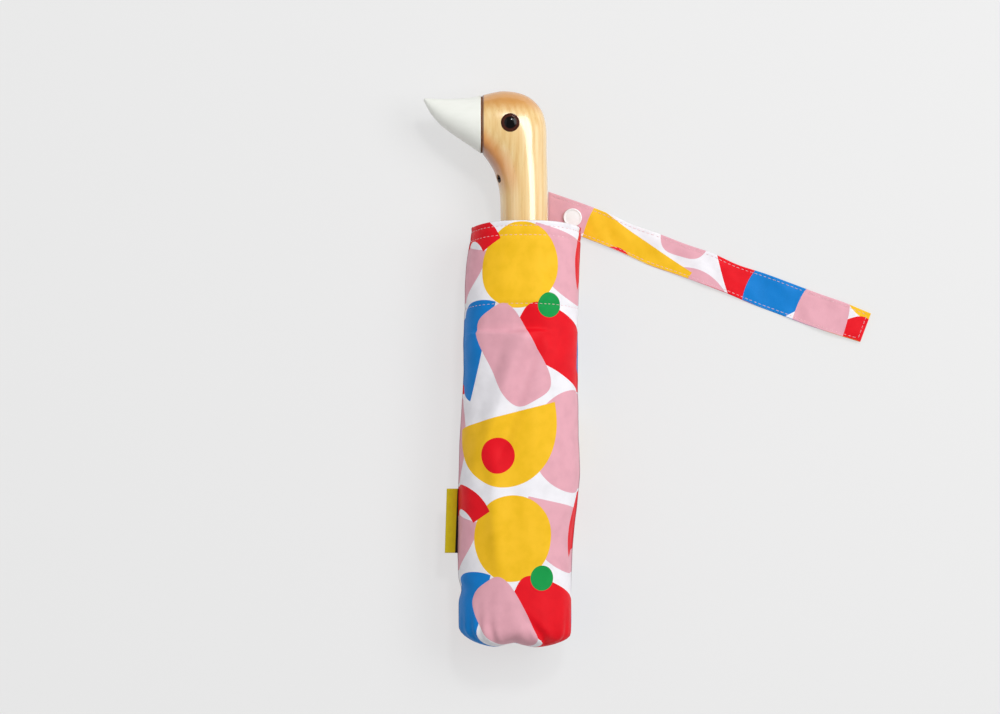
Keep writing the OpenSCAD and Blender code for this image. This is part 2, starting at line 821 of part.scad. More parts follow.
module canopy() {
    neck_len = 6;
    top_cloth = 1;
    bottom_y = crown_y - top_cloth;
    color([0.85, 0.62, 0.68])
        difference() {
            union() {
                on_shaft(bottom_y + neck_len)
                    linear_extrude(bundle_top_y - bottom_y - neck_len)
                        polygon(pleat_outline(bundle_r));
                on_shaft(bottom_y)
                    cylinder(r1 = bundle_in_r + top_cloth, r2 = bundle_r - pleat_depth, h = neck_len);
            }
            on_shaft(crown_y + top_cloth)
                cylinder(r = bundle_in_r, h = sleeve_len);
            on_shaft(bottom_y - 1)
                cylinder(r = crown_r + seat_gap, h = 4);
        }
}

module canopy_tie_band() {
    color([0.86, 0.05, 0.1])
        on_shaft(band_y)
            tube(band_in_r + band_t, band_in_r, band_w);
}

sleeve();
sleeve_tab();
strap_root();
strap_middle();
strap_tail();
snap_cap();
snap_socket();
snap_stud();
wooden_handle();
beak();
beak_groove_ring();
beak_dowel();
eye(1);  // left_eye
eye(-1);  // right_eye
handle_liner();
shaft_plug();
handle_screw();
inner_tube();
middle_tube();
outer_tube();
crown();
crown_tie_wire();
ferrule_cap();
runner();
runner_tie_wire();
runner_catch();
rib_rivets();
rib_tip_cups();
canopy();
canopy_tie_band();
for (i = [1:rib_count]) {
    main_rib(i);
    stretcher(i);
    second_and_tip_rib(i);
}
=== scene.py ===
import math

import bmesh
import bpy
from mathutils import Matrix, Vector, noise


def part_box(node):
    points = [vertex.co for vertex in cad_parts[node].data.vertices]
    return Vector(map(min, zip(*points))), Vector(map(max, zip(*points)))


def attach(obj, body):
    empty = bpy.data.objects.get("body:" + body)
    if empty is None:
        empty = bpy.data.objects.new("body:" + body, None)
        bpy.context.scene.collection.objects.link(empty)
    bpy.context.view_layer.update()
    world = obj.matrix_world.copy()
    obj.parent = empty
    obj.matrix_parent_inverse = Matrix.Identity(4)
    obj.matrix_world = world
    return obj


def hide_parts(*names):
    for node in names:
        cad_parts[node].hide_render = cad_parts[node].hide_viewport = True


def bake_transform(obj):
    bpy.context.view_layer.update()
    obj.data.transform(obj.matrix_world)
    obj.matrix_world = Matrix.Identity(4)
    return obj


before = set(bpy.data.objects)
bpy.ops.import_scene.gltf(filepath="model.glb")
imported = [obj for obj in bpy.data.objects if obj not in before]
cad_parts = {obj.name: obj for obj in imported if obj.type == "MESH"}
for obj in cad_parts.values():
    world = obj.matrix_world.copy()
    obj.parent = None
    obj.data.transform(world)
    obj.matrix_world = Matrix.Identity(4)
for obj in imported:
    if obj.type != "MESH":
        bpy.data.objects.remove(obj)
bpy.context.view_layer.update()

# Wooden handle
# One piece of pale close-grained wood, turned at the neck, carved into a bird's head and lacquered.
# It is bored for the shaft, and a dark screw in the throat pins it there.

# The sleeve's mouth, along the shaft from the sleeve's middle, and the shaft's height over the table
mouth_y = 0.119
axis_h = 0.025


class Shade:
    """A node's output that takes part in Python sums: each operator adds one Math node."""

    def __init__(self, tree, socket=None):
        self.tree, self.socket = tree, socket

    def node(self, kind, settings=None, sockets=None, out=0):
        made = self.tree.nodes.new(kind)
        for key, value in (settings or {}).items():
            if key == "stops":
                ramp = made.color_ramp.elements
                ramp.remove(ramp[1])
                ramp[0].position, ramp[0].color = value[0]
                for place, colour in value[1:]:
                    ramp.new(place).color = colour
            else:
                setattr(made, key, value)
        for key, value in (sockets or {}).items():
            if isinstance(value, Shade):
                self.tree.links.new(value.socket, made.inputs[key])
            else:
                made.inputs[key].default_value = value
        return Shade(self.tree, made.outputs[out])

    def maths(self, operation, *values):
        return self.node("ShaderNodeMath", {"operation": operation}, dict(enumerate(values)))

    def __add__(self, other):
        return self.maths("ADD", self, other)

    def __sub__(self, other):
        return self.maths("SUBTRACT", self, other)

    def __rsub__(self, other):
        return self.maths("SUBTRACT", other, self)

    def __mul__(self, other):
        return self.maths("MULTIPLY", self, other)

    def __lt__(self, other):
        return self.maths("LESS_THAN", self, other)

    def __gt__(self, other):
        return self.maths("GREATER_THAN", self, other)

    __radd__ = __add__
    __rmul__ = __mul__


def rgb(red, green, blue):
    """A colour as it is read off a screen, from 0 to 255, in Blender's linear numbers."""
    parts = [c / 255 for c in (red, green, blue)]
    return tuple(c / 12.92 if c <= 0.04045 else ((c + 0.055) / 1.055) ** 2.4 for c in parts) + (1.0,)


def new_finish(name):
    """A material, the start of its node sums and its shader."""
    material = bpy.data.materials.new(name)
    material.use_nodes = True
    tree = material.node_tree
    return material, Shade(tree), tree.nodes["Principled BSDF"]


def feed(shader, values):
    """Sets the shader's constants, and links what changes over the surface."""
    for key, value in values.items():
        if isinstance(value, Shade):
            value.tree.links.new(value.socket, shader.inputs[key])
        else:
            shader.inputs[key].default_value = value


def blend_colours(shade, factor, first, second):
    return shade.node("ShaderNodeMix", {"data_type": "RGBA"}, {0: factor, 6: first, 7: second}, 2)


def ease(shade, value, low, high):
    """0 below low and 1 above high, with a soft step between them."""
    return shade.node("ShaderNodeMapRange", {"interpolation_type": "SMOOTHSTEP"},
                      {"Value": value, "From Min": low, "From Max": high})


def bumped(shade, height, distance, strength):
    return shade.node("ShaderNodeBump", {}, {"Height": height, "Distance": distance, "Strength": strength})


def place_in_piece(shade):
    """Where a point lies in its piece, in metres."""
    return shade.node("ShaderNodeTexCoord", {}, {}, "Object")


def parts_of(shade, vector, axes):
    """The parts of a vector along the named axes."""
    return [shade.node("ShaderNodeSeparateXYZ", {}, {0: vector}, axis) for axis in axes]


def length_of(shade, vector):
    return shade.node("ShaderNodeVectorMath", {"operation": "LENGTH"}, {0: vector}, 1)


def stretched(shade, where, scale):
    return shade.node("ShaderNodeVectorMath", {"operation": "MULTIPLY"}, {0: where, 1: scale})


def mottled(shade, where, scale, detail, roughness=0.5, distortion=0.0):
    """Cloudy noise; three scales in place of one draw it out into fibres."""
    if isinstance(scale, tuple):
        where, scale = stretched(shade, where, scale), 1.0
    return shade.node("ShaderNodeTexNoise", {}, {
        "Vector": where, "Scale": scale, "Detail": detail, "Roughness": roughness, "Distortion": distortion})


def new_piece(name, points, faces):
    mesh = bpy.data.meshes.new(name)
    mesh.from_pydata([tuple(p) for p in points], [], faces)
    mesh.update()
    for polygon in mesh.polygons:
        polygon.use_smooth = True
    piece = bpy.data.objects.new(name, mesh)
    bpy.context.scene.collection.objects.link(piece)
    return piece


def loft(rings, capped=True):
    """Points and faces of a skin over rings that all have the same number of points."""
    sides = len(rings[0])
    points = [p for ring in rings for p in ring]
    faces = []
    for start in range(0, len(points) - sides, sides):
        for s in range(sides):
            a, b = start + s, start + (s + 1) % sides
            faces.append((a, b, b + sides, a + sides))
    if capped:
        faces.append(tuple(range(sides - 1, -1, -1)))
        faces.append(tuple(range(len(points) - sides, len(points))))
    return points, faces


def crisp(piece, least_bend=0.7):
    """Keeps the corners of a piece sharp under its smooth shading; the least bend is in radians."""
    work = bmesh.new()
    work.from_mesh(piece.data)
    for edge in work.edges:
        if len(edge.link_faces) == 2 and edge.calc_face_angle() > least_bend:
            edge.smooth = False
    for face in work.faces:
        face.smooth = True
    work.to_mesh(piece.data)
    work.free()
    return piece


def outward(piece):
    """Turns every face of a closed piece outwards."""
    work = bmesh.new()
    work.from_mesh(piece.data)
    bmesh.ops.recalc_face_normals(work, faces=work.faces)
    work.to_mesh(piece.data)
    work.free()
    return piece


def smooth_through(values, t):
    """A smooth curve through a list of numbers, at place t counted in list places."""
    i = min(int(t), len(values) - 2)
    f = t - i
    a, b, c, d = (values[min(max(k, 0), len(values) - 1)] for k in (i - 1, i, i + 1, i + 2))
    bend = 2 * a - 5 * b + 4 * c - d
    twist = 3 * b - a - 3 * c + d
    return 0.5 * (2 * b + (c - a) * f + bend * f * f + twist * f ** 3)


def between_sections(sections, t):
    """The sizes of a table of sections at place t, counted in sections."""
    return [smooth_through(sizes, t) for sizes in zip(*sections)]


def turns(sides):
    """Even angles once round."""
    return [2 * math.pi * s / sides for s in range(sides)]


# Throat x, throat height, back x, back height and half width, in millimetres, with heights above the mouth
head_sections = [
    (-12.7, -18, 13.9, -18, 13.3),
    (-12.7, 6, 14.0, 6, 13.3),
    (-13.3, 17.5, 13.8, 21, 13.3),
    (-15.0, 24.6, 13.3, 38, 13.5),
    (-16.4, 28.8, 12.9, 54, 14.4),
    (-18.0, 31.7, 9.6, 64, 14.6),
    (-19.6, 34.2, 1.6, 71.1, 14.6),
    (-21.3, 36.5, -10.5, 73.6, 14.4),
    (-22.6, 38.2, -22.6, 71.4, 14.0),
]
head_sides = 96


def head_ring(throat_x, throat_h, back_x, back_h, half_w, shrink=0.0):
    """An oval ring between a point of the throat and a point of the back, from sizes in millimetres."""
    middle_x, middle_h = (throat_x + back_x) / 2, (throat_h + back_h) / 2
    arm_x, arm_h = (back_x - throat_x) / 2, (back_h - throat_h) / 2
    reach = 1 - shrink / math.hypot(arm_x, arm_h)
    return [((middle_x + arm_x * reach * math.cos(t)) / 1000,
             mouth_y + (middle_h + arm_h * reach * math.cos(t)) / 1000,
             axis_h - (half_w - shrink) * math.sin(t) / 1000) for t in turns(head_sides)]


def head_ring_at(t, shrink=0.0):
    return head_ring(*between_sections(head_sections, t), shrink=shrink)


# Both ends are eased by a few rings that shrink
head_steps = 110
head_rings = [head_ring_at(0, 1.2), head_ring_at(0.02, 0.4)]
head_rings += [head_ring_at(0.06 + 7.9 * k / head_steps) for k in range(head_steps + 1)]
head_rings += [head_ring_at(7.985, 0.06), head_ring_at(8, 0.2)]
handle = outward(new_piece("handle_wood", *loft(head_rings)))


def apply_steps(piece):
    """Makes a piece's modifiers part of its mesh."""
    ready = bpy.context.evaluated_depsgraph_get()
    mesh = bpy.data.meshes.new_from_object(piece.evaluated_get(ready))
    piece.modifiers.clear()
    piece.data = mesh


def cut_away(piece, cutters):
    """Takes the cutters out of a piece, with crisp edges, and keeps the skin round them smooth."""
    whole = bpy.data.objects.new("uncut", piece.data)
    bpy.context.scene.collection.objects.link(whole)
    for cutter in cutters:
        step = piece.modifiers.new("cut", "BOOLEAN")
        step.object, step.operation, step.solver = cutter, "DIFFERENCE", "EXACT"
    apply_steps(piece)
    crisp(piece)
    step = piece.modifiers.new("skin", "DATA_TRANSFER")
    step.object, step.use_loop_data, step.data_types_loops = whole, True, {"CUSTOM_NORMAL"}
    step.loop_mapping, step.use_max_distance, step.max_distance = "POLYINTERP_NEAREST", True, 0.00003
    apply_steps(piece)
    for spare in cutters + [whole]:
        bpy.data.objects.remove(spare)


def round_cutter(centre, direction, radius, length=0.02):
    """A round plug that starts inside the piece and runs outwards."""
    along = Vector(direction).normalized()
    across = along.orthogonal().normalized()
    other = along.cross(across)
    rings = [[Vector(centre) + along * length * end
              + (across * math.cos(t) + other * math.sin(t)) * radius for t in turns(64)] for end in (0, 1)]
    return outward(new_piece("cutter", *loft(rings)))


screw_lean = math.radians(20)
screw_way = Vector((-math.cos(screw_lean), 0, math.sin(screw_lean)))
screw_seat = Vector((0, mouth_y + 0.0244, axis_h)) + screw_way * 0.01225
screw_hole_r = 0.0024
eye_centres = {side: Vector((-0.0072, mouth_y + 0.0553, axis_h + side * 0.0134)) for side in (1, -1)}
eye_hole_r = 0.00525
eye_hole_depth = 0.003
cutters = [round_cutter(screw_seat, screw_way, screw_hole_r)]
for side, centre in eye_centres.items():
    cutters.append(round_cutter(centre - Vector((0, 0, side * eye_hole_depth)), (0, 0, side), eye_hole_r))
cut_away(handle, cutters)

wood, shade, shader = new_finish("lacquered_wood")
where = place_in_piece(shade)
x, y = parts_of(shade, where, "XY")
wander = mottled(shade, where, (45, 8, 45), 2.0)
fibre = mottled(shade, where, (700, 14, 700), 5.0, roughness=0.62, distortion=0.3)
streak = mottled(shade, where, (230, 6, 230), 3.0, distortion=0.6)
pores = mottled(shade, where, (2600, 130, 2600), 2.0)
# Growth rings lie about a pith outside the blank, and show as arcs over the crown
pith = (0.031, 0.10, -0.012)
ring_pitch = 0.0029
off_pith = shade.node("ShaderNodeVectorMath", {"operation": "SUBTRACT"}, {0: where, 1: pith})
from_pith = length_of(shade, stretched(shade, off_pith, (1, 0.10, 1)))
ring_wave = shade.maths("SINE", (from_pith + wander * 0.006) * (2 * math.pi / ring_pitch))
growth = ease(shade, ring_wave, -0.6, 1.0)
grain = fibre * 0.50 + streak * 0.42 + (1 - growth) * 0.08
tone = shade.node("ShaderNodeValToRGB", {"stops": [
    (0.30, rgb(222, 170, 97)), (0.43, rgb(235, 193, 121)),
    (0.54, rgb(241, 205, 138)), (0.70, rgb(246, 217, 157))]}, {"Fac": grain})
# Painted shade: the wood is darker amber over the crown, where the surface turns from the light, and a deeper
# brown in the hollow of the throat
over_crown = y + shade.maths("MAXIMUM", x, 0.0) * 0.2 + wander * 0.004
crown = ease(shade, over_crown, mouth_y + 0.0625, mouth_y + 0.0705)
above_neck = shade.maths("MAXIMUM", y - (mouth_y + 0.010), 0.0)
from_throat = x + 0.0127 + above_neck * above_neck * 12.6 + wander * 0.003
hollow = ease(shade, y, mouth_y + 0.012, mouth_y + 0.034)
tone = blend_colours(shade, crown * 0.88, tone, rgb(210, 139, 42))
# Painted shade in the hollow of the throat, in two layers
for start, stop, depth, throat_shade in ((0.0070, 0.0185, 0.88, rgb(232, 146, 56)),
                                  (0.0030, 0.0100, 0.82, rgb(146, 78, 28))):
    tone = blend_colours(shade, hollow * (1 - ease(shade, from_throat, start, stop)) * depth, tone, throat_shade)
tone = blend_colours(shade, ease(shade, pores, 0.64, 0.76) * 0.30, tone, rgb(150, 96, 44))
# The burnt groove has scorched the wood beside it
scorched = 1 - ease(shade, x + wander * 0.0004, -0.0219, -0.0213)
tone = blend_colours(shade, scorched * 0.8, tone, rgb(112, 58, 22))
feed(shader, {
    "Base Color": tone,
    "Roughness": 0.32 + fibre * 0.10,
    "Normal": bumped(shade, pores * 0.5 + fibre * 0.5, 0.00003, 0.2),
    "Coat Weight": 1.0, "Coat Roughness": 0.16, "Coat IOR": 1.9, "IOR": 1.52})
handle.data.materials.append(wood)
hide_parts("wooden_handle")
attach(handle, "handle")

# Beak and its groove
# A turned and carved beak, painted satin off-white, on a dowel; the joint shows as a dark burnt line.

# Share of the length, the lower edge's share of the joint's height, the upper edge's drop in millimetres,
# and share of the half width
beak_sections = [
    (0, 0.012, 0.3, 0.985), (0.2, 0.145, 1.5, 0.89), (0.45, 0.307, 2.05, 0.73), (0.7, 0.488, 2.2, 0.54),
    (0.88, 0.687, 1.9, 0.33), (0.965, 0.837, 1.8, 0.17), (1, 0.898, 2.2, 0.05)]
joint_top, joint_foot, joint_half_w = 71.4, 38.2, 14.0
beak_root_x, beak_len = -23.6, 32
beak_steps = 72
root_shrink = {0: 0.22, 1: 0.05}
beak_rings = []
for step in range(beak_steps + 1):
    share, low, drop, width = between_sections(beak_sections, (len(beak_sections) - 1) * step / beak_steps)
    ring_x = beak_root_x - share * beak_len
    foot = joint_foot + low * (joint_top - joint_foot)
    beak_rings.append(head_ring(ring_x, foot, ring_x, joint_top - drop, width * joint_half_w,
                                shrink=root_shrink.get(step, 0)))
beak = outward(new_piece("beak_painted", *loft(beak_rings)))
paint, shade, shader = new_finish("satin_beak_paint")
where = place_in_piece(shade)
x = parts_of(shade, where, "X")[0]
brush = mottled(shade, where, (90, 420, 420), 4.0)
cloud = mottled(shade, where, 60.0, 3.0)
edge_rub = ease(shade, x, -0.0265, -0.0236) * ease(shade, cloud, 0.35, 0.7)
off_white = blend_colours(shade, brush, rgb(246, 247, 241), rgb(237, 239, 231))
feed(shader, {
    "Base Color": blend_colours(shade, edge_rub * 0.35, off_white, rgb(196, 180, 150)),
    "Roughness": 0.36 + cloud * 0.16,
    "Normal": bumped(shade, brush, 0.00008, 0.3),
    "Coat Weight": 0.15, "Coat Roughness": 0.25})
beak.data.materials.append(paint)
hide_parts("beak")
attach(beak, "handle")


def speckled(name, scale, detail, colours, roughness, relief=None, constants=None):
    """A finish with two close colours and two levels of roughness, mixed by a cloudy grain.

    The relief is the grain's height in metres and its strength."""
    material, shade, shader = new_finish(name)
    grit = mottled(shade, place_in_piece(shade), scale, detail)
    feed(shader, {"Base Color": blend_colours(shade, grit, *colours),
                  "Roughness": roughness[0] + grit * roughness[1], **(constants or {})})
    if relief:
        feed(shader, {"Normal": bumped(shade, grit, *relief)})
    return material


# Place along the head and depth, in millimetres
groove_steps = ((-22.55, 0.5), (-22.8, 0.75), (-23.1, 0.85), (-23.4, 0.75), (-23.65, 0.5))
groove_rings = [head_ring(ring_x, joint_foot, ring_x, joint_top, joint_half_w, shrink=depth)
                for ring_x, depth in groove_steps]
groove = outward(new_piece("beak_groove_line", *loft(groove_rings)))
burnt = speckled("burnt_groove", 420.0, 3.0, (rgb(70, 34, 12), rgb(146, 84, 34)), (0.5, 0.3), (0.0001, 0.4))
groove.data.materials.append(burnt)
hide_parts("beak_groove_ring")
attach(groove, "handle")

# Eyes
# Domed glossy beads with a dark brown ring and a black pupil, one pressed into each side of the head.

# Radius and height in millimetres, from the foot over the ring to the dome
bead_profile = [(4.6, -2.9), (5.15, -2.0), (5.15, 0.7), (5.1, 1.0), (4.98, 1.18), (4.75, 1.26), (4.4, 1.29),
                (3.9, 1.31), (3.6, 1.36)]
dome_r, dome_edge_r, dome_foot = 9.5, 3.6, 1.4
dome_base = dome_foot - math.sqrt(dome_r ** 2 - dome_edge_r ** 2)
bead_profile += [(r, dome_base + math.sqrt(dome_r ** 2 - r ** 2))
                 for r in (3.5, 3.2, 2.8, 2.4, 2, 1.5, 1, 0.5, 0.05)]


def turned_rings(profile, sides, way=1):
    """Rings of a turned shape, from radii and heights in millimetres; way -1 points it down."""
    return [[(r * math.cos(t) / 1000, r * math.sin(t) * way / 1000, h * way / 1000) for t in turns(sides)]
            for r, h in profile]


eye_finish, shade, shader = new_finish("glass_eye")
where = place_in_piece(shade)
from_middle = length_of(shade, stretched(shade, where, (1, 1, 0)))
fleck = mottled(shade, where, 900.0, 3.0)
iris = blend_colours(shade, fleck, rgb(46, 18, 14), rgb(84, 40, 26))
feed(shader, {
    "Base Color": blend_colours(shade, ease(shade, from_middle, 0.0030, 0.0037), rgb(6, 5, 6), iris),
    "Roughness": 0.10 + fleck * 0.06,
    "Coat Weight": 0.13, "Coat Roughness": 0.04, "Specular IOR Level": 0.14})
for name, side in (("left_eye", 1), ("right_eye", -1)):
    bead = outward(new_piece(name + "_bead", *loft(turned_rings(bead_profile, 64, side))))
    bead.location = eye_centres[side]
    bead.data.materials.append(eye_finish)
    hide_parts(name)
    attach(bead, "handle")

# Shaft and frame
# Three plated steel tubes that slide in each other, and the folded ribs, crown and runner of steel
# and black nylon. They keep their CAD shapes, and only get their finishes here.

steel, shade, shader = new_finish("plated_steel")
where = place_in_piece(shade)
drawn = mottled(shade, where, (2400, 25, 2400), 3.0)
smear = mottled(shade, where, 45.0, 3.0)
feed(shader, {
    "Base Color": blend_colours(shade, smear, rgb(196, 198, 202), rgb(168, 170, 176)),
    "Metallic": 1.0,
    "Roughness": 0.2 + drawn * 0.12 + smear * 0.1,
    "Normal": bumped(shade, drawn, 0.00003, 0.3)})
nylon = speckled("black_nylon", 1500.0, 2.0, (rgb(24, 24, 25), rgb(40, 40, 42)), (0.42, 0.2), (0.00005, 0.3))
white_nylon = speckled("plug_nylon", 1200.0, 2.0, (rgb(214, 212, 200), rgb(232, 230, 220)), (0.5, 0.1))
dowel_wood = speckled("bare_dowel_wood", (30, 900, 900), 4.0, (rgb(196, 150, 96), rgb(226, 190, 140)),
                      (0.7, 0.1))
black_steel = speckled("blackened_screw", 700.0, 3.0, (rgb(34, 22, 14), rgb(66, 48, 36)), (0.4, 0.2),
                       constants={"Metallic": 0.7})
cad_finishes = {"handle_liner": nylon, "crown": nylon, "ferrule_cap": nylon, "runner": nylon,
                "rib_tip_cups": nylon, "shaft_plug": white_nylon, "beak_dowel": dowel_wood,
                "handle_screw": black_steel}
for name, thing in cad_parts.items():
    thing.data.materials.clear()
    thing.data.materials.append(cad_finishes.get(name, steel))

# Sleeve
# A bag of thin printed polyester, sewn from two panels with side seams, with a deep stitched hem at its
# mouth. It is loose over the folded canopy, and its closed end is drawn in with soft gathers.

end_y = -mouth_y
sleeve_len = mouth_y - end_y
cloth_t = 0.0009
# Radius that the folded umbrella fills, and rows of stitching, measured from the mouth
filled_r = 0.0240
stitch_lines = (0.0022, 0.0074, 0.0455)
# Left and right edge of the bag in millimetres, at even steps from the closed end to the mouth
left_edge = [-34.8, -35.1, -35.4, -35.8, -35.7, -35.2, -34.5, -33.4, -32.9, -32.9, -32.1, -31.2, -28.4]
right_edge = [26.2, 26.6, 26.6, 27.2, 29.1, 30.8, 30.5, 30.0, 29.8, 29.9, 30.4, 31.2, 31.7]


def sleeve_edges(u):
    return [smooth_through(edge, u * (len(edge) - 1)) / 1000 for edge in (left_edge, right_edge)]


def sleeve_middle(u):
    left, right = sleeve_edges(u)
    return (left + right) / 2


def sleeve_half_w(u):
    left, right = sleeve_edges(u)
    return (right - left) / 2


def hump(distance, width):
    return math.exp(-(distance / width) ** 2)


def step_up(value):
    """0 below 0 and 1 above 1, with a soft step between them."""
    v = max(0.0, min(1.0, value))
    return v * v * (3 - 2 * v)


def hem_fold(px, py):
    """The hem stands up a little, and the cloth behind it falls to a crease."""
    crease_y = 0.0590 + 0.0006 * math.sin(px * 190)
    risen = step_up((0.098 - py) / 0.022)
    fallen = max(0.0, min(1.0, (0.0745 - py) / 0.015))
    past = step_up((crease_y - py) / 0.0016)
    height = 0.0024 * risen * (1 - 1.15 * fallen) * (1 - past) + 0.0020 * past * hump(py - crease_y, 0.016)
    return height * step_up((0.0165 - px) / 0.008)


def long_fold(px, py):
    """A fold that runs from the crease down to the left: a ridge, a sharp valley and a flat rise."""
    start_x, start_y, fold_len = 0.0112, 0.0577, 0.064
    run_x, run_y = -0.332, -0.943
    off_x, off_y = px - start_x, py - start_y
    along = (run_x * off_x + run_y * off_y) / fold_len
    across = run_x * off_y - run_y * off_x + 0.0006 * math.sin(along * 5)
    # Places across the fold, from its valley
    ridge, kink, brow, fall = -0.009, 0.004, 0.011, 0.012
    if across < ridge:
        level = 1.6 * step_up((across + 0.020) / 0.011)
    elif across < 0:
        level = -0.2 + 1.8 * across / ridge
    elif across < kink:
        level = -0.2 + 0.7 * across / kink
    elif across < brow:
        level = 0.5 + 0.25 * math.sin((across - kink) / (brow - kink) * math.pi / 2)
    else:
        level = 0.75 * (1 - step_up((across - brow) / fall))
    return 0.0025 * level * step_up(along / 0.12) * (1 - step_up((along - 0.85) / 0.55))


def low_ridge(px, py):
    """A soft ridge lies along the lower half."""
    ridge_x = -0.0145 - 0.03 * (py + 0.04)
    return 0.0020 * hump(px - ridge_x, 0.0052) * step_up((-0.002 - py) / 0.016) * step_up((py + 0.086) / 0.02)


# Creases that run into the closed end: place across it, lean and share of the depth
end_creases = [(0.0172, -0.8, 2.6), (0.0215, 0.5, 0.9), (0.005, -0.2, 0.6), (-0.014, -0.35, 0.7),
               (-0.022, -0.6, 0.5)]


def end_crease(px, py):
    """Depth of the short creases at the closed end."""
    from_end = py - end_y
    fade = step_up(1.25 - from_end / 0.018)
    width = 0.0016 + 0.08 * from_end
    return sum(0.0013 * size * hump(px - crease_x - lean * from_end, width) * fade
               for crease_x, lean, size in end_creases)


# Soft waves in the cloth: how close they lie across it and along it, where they start on the front panel
# and on the back one, and their height
cloth_drifts = [(34, 16, 3.7, 9.1, 0.0010), (90, 40, 5.2, 1.4, 0.0006), (210, 120, 7.9, 2.6, 0.00018)]


def sleeve_point(u, turn, inset=0.0):
    """A point of the sleeve.

    u goes from 0 at the closed end to 1 at the mouth, and turn from 0 at the right seam over the top."""
    from_end = u * sleeve_len
    c, s = math.cos(turn), math.sin(turn)
    in_front = s > 0
    # The closed end is rounded in plan, and fuller on the front panel than on the back
    beyond = max(from_end - inset, 0.0)
    round_v = min(1.0, 0.05 + 0.95 * beyond / (0.010 - 0.002 * c))
    scale = math.sqrt(1 - (1 - round_v) ** 2)
    top_v = min(1.0, 0.02 + 0.98 * beyond / 0.014)
    fullness = 3 if in_front else 2
    top_scale = (1 - (1 - top_v) ** fullness) ** (1 / fullness)
    squareness = 2 / 2.5
    across = math.copysign(abs(c) ** squareness, c)
    up = math.copysign(abs(s) ** squareness, s)
    px = sleeve_middle(u) + (sleeve_half_w(u) - inset) * scale * across
    py = end_y + from_end
    gather = 0.0006 * math.sin(19 * turn + 2.2 * math.sin(3 * turn)) * hump(from_end - 0.005, 0.014)
    drift = sum(noise.noise(Vector((px * fine_x, py * fine_y, front if in_front else back))) * height
                for fine_x, fine_y, front, back, height in cloth_drifts)
    bulge = max(gather + drift, -0.0004 - 0.002 * c * c)
    if in_front:
        folds = hem_fold(px, py) + long_fold(px, py) + low_ridge(px, py) - end_crease(px, py)
        bulge += folds * (1 - abs(across) ** 5)
    # Stitched lines press the cloth in
    for line in stitch_lines:
        bulge -= 0.00032 * hump(sleeve_len - from_end - line, 0.0009)
    slack = 0.0002 if in_front else 0.0006
    half_h = axis_h - inset - slack + bulge * scale
    pz = axis_h + half_h * top_scale * up
    # The folded canopy holds the front panel up
    if in_front and from_end > 0.02:
        pz = max(pz, axis_h + math.sqrt(max(0.0, (filled_r - inset) ** 2 - px ** 2)))
    seam = 0.0008 * sum(hump(turn - place, 0.022) for place in (math.pi, 0, 2 * math.pi))
    px += (bulge * 0.8 + seam) * across * scale
    # The side seams hang back at the mouth, and the closed end is drawn up in its middle
    py -= 0.0032 * abs(across) ** 3 * step_up((u - 0.45) / 0.45)
    py += 0.0034 * hump(px + 0.0050, 0.0075) * step_up(1 - from_end / 0.016)
    # The left side is pinched a little way above the closed end
    px -= 0.0017 * min(across, 0.0) * abs(across) ** 2 * hump(from_end - 0.0325, 0.0045)
    return Vector((px, py, max(pz, 0.0002 + inset)))


sleeve_sides = 176
body_rings = 236
places = [0.0, 0.0012, 0.003, 0.006, 0.010, 0.015, 0.021, 0.028, 0.036, 0.045]
places += [0.045 + 0.937 * k / body_rings for k in range(1, body_rings + 1)]
places += [0.986, 0.990, 0.993, 0.996, 0.998, 1.0]
outside, inside = ([[sleeve_point(u, t, inset) for t in turns(sleeve_sides)] for u in places]
                   for inset in (0.0, cloth_t))
inside[0] = [p + Vector((0, cloth_t, 0)) for p in inside[0]]
rim_rise = 0.0006
rim = [(a + b) / 2 + Vector((0, rim_rise, 0)) for a, b in zip(outside[-1], inside[-1])]
sleeve = new_piece("sleeve_cloth", *loft(outside + [rim] + inside[::-1]))


def spread_cloth(piece, across, along):
    """Gives a lofted piece flat cloth coordinates in metres, listed across the cloth and along it."""
    sides = len(across) - 1
    layer = piece.data.uv_layers.new(name="cloth")
    for polygon in piece.data.polygons:
        corners = [(piece.data.loops[i].vertex_index, i) for i in polygon.loop_indices]
        columns = [v % sides for v, i in corners]
        wraps = max(columns) - min(columns) > sides / 2
        for (v, i), column in zip(corners, columns):
            layer.data[i].uv = (across[sides if wraps and column == 0 else column], along[v // sides])


girth = [0.0]
middle_ring = outside[len(outside) // 2]
for a, b in zip(middle_ring, middle_ring[1:] + middle_ring[:1]):
    girth.append(girth[-1] + (b - a).length)
along_sleeve = [end_y + u * sleeve_len for u in places]
along_lining = [mouth_y + 0.001 + (mouth_y - row_y) for row_y in along_sleeve[::-1]]
spread_cloth(sleeve, girth, along_sleeve + [mouth_y + rim_rise] + along_lining)

# A repeat of plain shapes: kind, colour, middle and half size in millimetres, and turn in degrees
print_repeat = (0.100, 0.152)
pink, red, yellow = rgb(230, 170, 183), rgb(232, 2, 26), rgb(246, 193, 32)
blue, green, white = rgb(0, 126, 208), rgb(0, 152, 70), rgb(242, 240, 245)
print_shapes = [
    ("disc", pink, (24, 28), (29, 29), 0),
    ("half", yellow, (71, 42), (33, 40), 166),
    ("half", pink, (18, 142), (36, 36), 192),
    ("disc", yellow, (62, 126), (24, 24), 0),
    ("block", red, (28, 80), (36, 16), 26),
    ("half", blue, (84, 78), (29, 32), -72),
    ("arch", red, (98, 128), (26, 28), -30),
    ("block", pink, (65, 76), (15, 29), -30),
    ("disc", green, (43, 104), (7, 7), 0),
    ("disc", red, (72, 20), (10, 10), 0),
]


